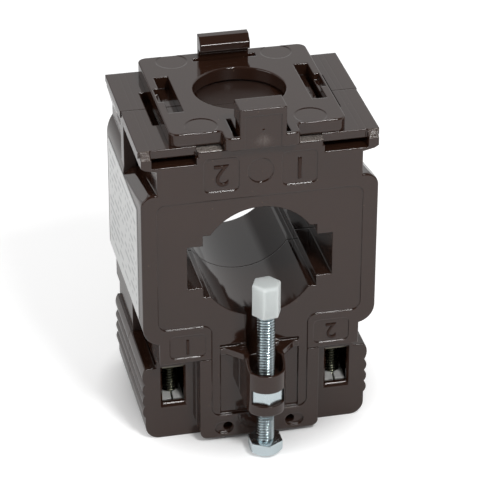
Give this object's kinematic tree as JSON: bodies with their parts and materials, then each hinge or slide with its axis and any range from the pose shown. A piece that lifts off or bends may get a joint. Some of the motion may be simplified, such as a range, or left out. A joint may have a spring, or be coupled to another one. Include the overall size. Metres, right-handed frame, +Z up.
{
  "type": "window-type current transformer",
  "caption": "Moulded window current transformer with rail foot, clamp screw in front of the bar window, and two screw terminals.",
  "frame": {"origin": "on the axis of the bar window, in the parting plane of the two half shells", "axes": "+Z up towards the rail foot, -Y towards the front with the clamp screw, +X to the right seen from the front"},
  "size_m": [0.0534, 0.0527, 0.0843],
  "materials": {
    "housing_front": "glossy dark brown moulding",
    "housing_rear": "glossy dark brown moulding",
    "foot_plastic": "glossy dark brown moulding",
    "zinc_steel": "bright zinc plating",
    "white_nylon": "matt",
    "tinned_brass": "dull tin",
    "tinned_steel": "dull tin",
    "nickel_steel": "nickel plating",
    "core_steel": "wound silicon steel tape",
    "insulating_film": "polyester film",
    "enamelled_copper": "enamelled",
    "coil_tape": "amber polyester tape",
    "foam": "closed-cell polyethylene foam",
    "label_film": "printed polyester film"
  },
  "bodies": {
    "housing": {"front_shell": "housing_front", "rear_shell": "housing_rear", "rail_foot": "foot_plastic", "clamp_nut": "zinc_steel", "terminal_strip_left": "tinned_brass", "terminal_strip_right": "tinned_brass", "ring_core": "core_steel", "core_sleeve": "insulating_film", "secondary_winding": "enamelled_copper", "coil_tape": "coil_tape", "front_cushion": "foam", "rear_cushion": "foam", "lead_wire_left": "enamelled_copper", "lead_wire_right": "enamelled_copper", "rating_label": "label_film"},
    "clamp_cap": {"clamp_cap": "white_nylon"},
    "clamp_screw": {"clamp_screw": "zinc_steel"},
    "wire_plate_left": {"wire_plate_left": "tinned_steel"},
    "terminal_screw_left": {"terminal_screw_left": "nickel_steel"},
    "wire_plate_right": {"wire_plate_right": "tinned_steel"},
    "terminal_screw_right": {"terminal_screw_right": "nickel_steel"}
  },
  "joints": [
    {"name": "clamp_travel", "type": "slide", "parent": "housing", "child": "clamp_cap", "axis": [0, 0, 1], "range_m": [-0.016, 0.008]},
    {"name": "clamp_turn", "type": "hinge", "parent": "clamp_cap", "child": "clamp_screw", "pos_m": [0, -0.0271, 0], "axis": [0, 0, 1], "continuous": true},
    {"name": "wire_clamp_left", "type": "slide", "parent": "housing", "child": "wire_plate_left", "axis": [0, 0, 1], "range_m": [0, 0.007]},
    {"name": "terminal_turn_left", "type": "hinge", "parent": "wire_plate_left", "child": "terminal_screw_left", "pos_m": [-0.01887, -0.0113, 0], "axis": [0, 0, 1], "continuous": true},
    {"name": "wire_clamp_right", "type": "slide", "parent": "housing", "child": "wire_plate_right", "axis": [0, 0, 1], "range_m": [0, 0.007]},
    {"name": "terminal_turn_right", "type": "hinge", "parent": "wire_plate_right", "child": "terminal_screw_right", "pos_m": [0.01887, -0.0113, 0], "axis": [0, 0, 1], "continuous": true}
  ],
  "couplings": [
    {"joint": "clamp_turn", "follows": "clamp_travel", "rad_per_m": 8976},
    {"joint": "terminal_turn_left", "follows": "wire_clamp_left", "rad_per_m": 8976},
    {"joint": "terminal_turn_right", "follows": "wire_clamp_right", "rad_per_m": 8976}
  ]
}
